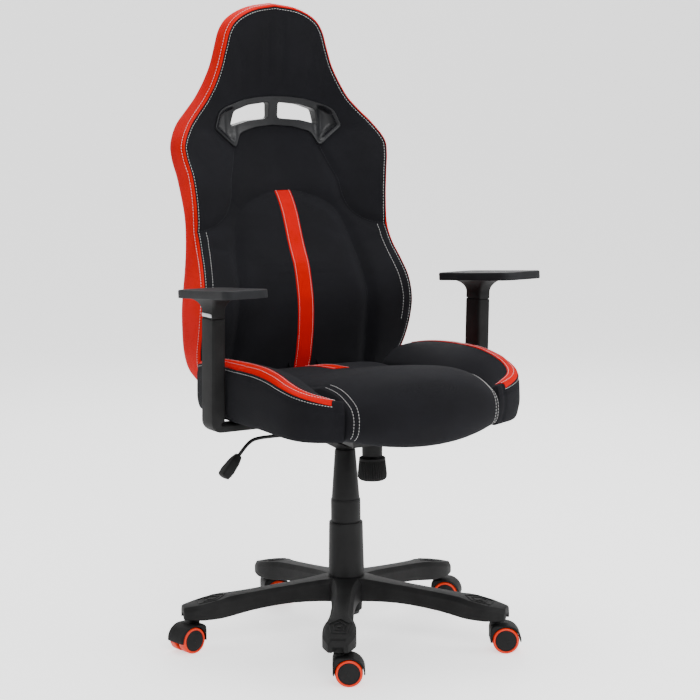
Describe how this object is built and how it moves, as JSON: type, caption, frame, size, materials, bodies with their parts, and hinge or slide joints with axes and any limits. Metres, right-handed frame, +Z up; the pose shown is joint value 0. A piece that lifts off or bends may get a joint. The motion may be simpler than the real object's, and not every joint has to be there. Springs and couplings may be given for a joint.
{
  "type": "racing swivel chair",
  "caption": "Racing-style swivel seat with a winged back, bolstered cushion, height-adjustable arms, gas lift and a five-star castor base.",
  "frame": {"origin": "on the floor, at the middle of the overall box in X and Y", "axes": "+Z up; the sitter faces -Y; +X is on the sitter's left"},
  "size_m": [0.673, 0.668, 1.2269],
  "materials": {
    "black_fabric": "fine woven polyester, matt",
    "red_leather": "red grained faux leather, satin",
    "thread": "pale twisted sewing thread",
    "nylon": "glass-filled nylon, fine moulded texture",
    "soft_plastic": "satin black plastic",
    "gloss_plastic": "gloss black plastic",
    "wheel_plastic": "hard black tread",
    "orange_plastic": "orange-red moulded ring",
    "black_steel": "black powder coat",
    "bright_steel": "zinc plated",
    "spring_steel": "oiled spring steel",
    "plywood": "bare moulded plywood"
  },
  "bodies": {
    "base": {"star_base": "nylon", "lift_column": "black_steel", "guide_bush": "soft_plastic", "thrust_bearing": "bright_steel", "cover_lower": "soft_plastic"},
    "swivel": {"piston_rod": "bright_steel"},
    "cover_middle": {"cover_middle": "soft_plastic"},
    "lift": {"pressure_tube": "black_steel", "cover_upper": "soft_plastic", "mechanism_housing": "black_steel", "pivot_shaft": "bright_steel", "tension_spring": "spring_steel"},
    "valve": {"valve_pin": "bright_steel"},
    "lever_slider": {"lever_bush": "soft_plastic"},
    "lever": {"lever_rod": "black_steel", "lever_grip": "nylon"},
    "knob": {"tension_knob": "nylon"},
    "seat": {"seat_plate": "black_steel", "seat_board": "plywood", "seat_cushion": "black_fabric", "seat_bolster_left": "black_fabric", "seat_bolster_right": "black_fabric", "back_cushion": "black_fabric", "back_frame": "plywood", "back_bracket": "black_steel", "vent_front_bezel": "gloss_plastic", "vent_rear_bezel": "gloss_plastic", "arm_post_left": "nylon", "arm_post_right": "nylon"},
    "arm_left": {"arm_upper_left": "nylon", "arm_pad_left": "soft_plastic"},
    "button_left": {"arm_button_left": "bright_steel"},
    "arm_right": {"arm_upper_right": "nylon", "arm_pad_right": "soft_plastic"},
    "button_right": {"arm_button_right": "bright_steel"},
    "castor_front_right": {"castor_stem_front_right": "bright_steel", "castor_hood_front_right": "nylon", "castor_axle_front_right": "bright_steel"},
    "wheel_outer_front_right": {"wheel_outer_front_right": "wheel_plastic"},
    "wheel_inner_front_right": {"wheel_inner_front_right": "wheel_plastic"},
    "castor_front_left": {"castor_stem_front_left": "bright_steel", "castor_hood_front_left": "nylon", "castor_axle_front_left": "bright_steel"},
    "wheel_outer_front_left": {"wheel_outer_front_left": "wheel_plastic"},
    "wheel_inner_front_left": {"wheel_inner_front_left": "wheel_plastic"},
    "castor_left": {"castor_stem_left": "bright_steel", "castor_hood_left": "nylon", "castor_axle_left": "bright_steel"},
    "wheel_outer_left": {"wheel_outer_left": "wheel_plastic"},
    "wheel_inner_left": {"wheel_inner_left": "wheel_plastic"},
    "castor_rear": {"castor_stem_rear": "bright_steel", "castor_hood_rear": "nylon", "castor_axle_rear": "bright_steel"},
    "wheel_outer_rear": {"wheel_outer_rear": "wheel_plastic"},
    "wheel_inner_rear": {"wheel_inner_rear": "wheel_plastic"},
    "castor_right": {"castor_stem_right": "bright_steel", "castor_hood_right": "nylon", "castor_axle_right": "bright_steel"},
    "wheel_outer_right": {"wheel_outer_right": "wheel_plastic"},
    "wheel_inner_right": {"wheel_inner_right": "wheel_plastic"}
  },
  "joints": [
    {"name": "seat_swivel", "type": "hinge", "parent": "base", "child": "swivel", "pos_m": [0.002, 0, 0.1], "axis": [0, 0, 1], "continuous": true},
    {"name": "seat_height", "type": "slide", "parent": "swivel", "child": "lift", "axis": [0, 0, 1], "range_m": [-0.08, 0.02]},
    {"name": "cover_follow", "type": "slide", "parent": "swivel", "child": "cover_middle", "axis": [0, 0, 1], "range_m": [-0.04, 0.01]},
    {"name": "seat_tilt", "type": "hinge", "parent": "lift", "child": "seat", "pos_m": [0.002, -0.045, 0.4136], "axis": [-1, 0, 0], "range_deg": [0, 10], "stiffness_Nm_per_rad": 150, "springref_deg": -28.65},
    {"name": "tension_adjust", "type": "hinge", "parent": "lift", "child": "knob", "pos_m": [0.002, -0.103, 0.35], "axis": [0, 0, 1], "range_deg": [-720, 720]},
    {"name": "tilt_lock", "type": "slide", "parent": "lift", "child": "lever_slider", "axis": [-1, 0, 0], "range_m": [0, 0.012]},
    {"name": "lever_lift", "type": "hinge", "parent": "lever_slider", "child": "lever", "pos_m": [-0.0535, -0.005, 0.4036], "axis": [0, 1, 0], "range_deg": [0, 4], "stiffness_Nm_per_rad": 15, "springref_deg": -5.73},
    {"name": "valve_press", "type": "slide", "parent": "lift", "child": "valve", "axis": [0, 0, -1], "range_m": [0, 0.0042]},
    {"name": "arm_height_left", "type": "slide", "parent": "seat", "child": "arm_left", "axis": [0, -0.0454, 0.999], "range_m": [0, 0.06]},
    {"name": "arm_release_left", "type": "slide", "parent": "arm_left", "child": "button_left", "axis": [-1, 0, 0], "range_m": [0, 0.003], "stiffness_N_per_m": 800, "springref_m": -0.004},
    {"name": "arm_height_right", "type": "slide", "parent": "seat", "child": "arm_right", "axis": [0, -0.0454, 0.999], "range_m": [0, 0.06]},
    {"name": "arm_release_right", "type": "slide", "parent": "arm_right", "child": "button_right", "axis": [1, 0, 0], "range_m": [0, 0.003], "stiffness_N_per_m": 800, "springref_m": -0.004},
    {"name": "castor_swivel_front_right", "type": "hinge", "parent": "base", "child": "castor_front_right", "pos_m": [-0.15875, -0.2533, 0.06], "axis": [0, 0, 1], "continuous": true},
    {"name": "wheel_spin_outer_front_right", "type": "hinge", "parent": "castor_front_right", "child": "wheel_outer_front_right", "pos_m": [-0.14308, -0.26216, 0.025], "axis": [0.4924, 0.8704, 0], "continuous": true},
    {"name": "wheel_spin_inner_front_right", "type": "hinge", "parent": "castor_front_right", "child": "wheel_inner_front_right", "pos_m": [-0.14308, -0.26216, 0.025], "axis": [0.4924, 0.8704, 0], "continuous": true},
    {"name": "castor_swivel_front_left", "type": "hinge", "parent": "base", "child": "castor_front_left", "pos_m": [0.19323, -0.23115, 0.06], "axis": [0, 0, 1], "continuous": true},
    {"name": "wheel_spin_outer_front_left", "type": "hinge", "parent": "castor_front_left", "child": "wheel_outer_front_left", "pos_m": [0.20889, -0.24002, 0.025], "axis": [0.4924, 0.8704, 0], "continuous": true},
    {"name": "wheel_spin_inner_front_left", "type": "hinge", "parent": "castor_front_left", "child": "wheel_inner_front_left", "pos_m": [0.20889, -0.24002, 0.025], "axis": [0.4924, 0.8704, 0], "continuous": true},
    {"name": "castor_swivel_left", "type": "hinge", "parent": "base", "child": "castor_left", "pos_m": [0.28093, 0.11044, 0.06], "axis": [0, 0, 1], "continuous": true},
    {"name": "wheel_spin_outer_left", "type": "hinge", "parent": "castor_left", "child": "wheel_outer_left", "pos_m": [0.29472, 0.09887, 0.025], "axis": [0.6428, 0.766, 0], "continuous": true},
    {"name": "wheel_spin_inner_left", "type": "hinge", "parent": "castor_left", "child": "wheel_inner_left", "pos_m": [0.29472, 0.09887, 0.025], "axis": [0.6428, 0.766, 0], "continuous": true},
    {"name": "castor_swivel_rear", "type": "hinge", "parent": "base", "child": "castor_rear", "pos_m": [-0.01684, 0.29941, 0.06], "axis": [0, 0, 1], "continuous": true},
    {"name": "wheel_spin_outer_rear", "type": "hinge", "parent": "castor_rear", "child": "wheel_outer_rear", "pos_m": [0.00055, 0.29475, 0.025], "axis": [0.2588, 0.9659, 0], "continuous": true},
    {"name": "wheel_spin_inner_rear", "type": "hinge", "parent": "castor_rear", "child": "wheel_inner_rear", "pos_m": [0.00055, 0.29475, 0.025], "axis": [0.2588, 0.9659, 0], "continuous": true},
    {"name": "castor_swivel_right", "type": "hinge", "parent": "base", "child": "castor_right", "pos_m": [-0.28857, 0.07461, 0.06], "axis": [0, 0, 1], "continuous": true},
    {"name": "wheel_spin_outer_right", "type": "hinge", "parent": "castor_right", "child": "wheel_outer_right", "pos_m": [-0.30618, 0.07086, 0.025], "axis": [0.2079, -0.9781, 0], "continuous": true},
    {"name": "wheel_spin_inner_right", "type": "hinge", "parent": "castor_right", "child": "wheel_inner_right", "pos_m": [-0.30618, 0.07086, 0.025], "axis": [0.2079, -0.9781, 0], "continuous": true}
  ],
  "couplings": [
    {"joint": "cover_follow", "follows": "seat_height", "ratio": 0.5},
    {"joint": "valve_press", "follows": "lever_lift", "m_per_rad": 0.057}
  ]
}
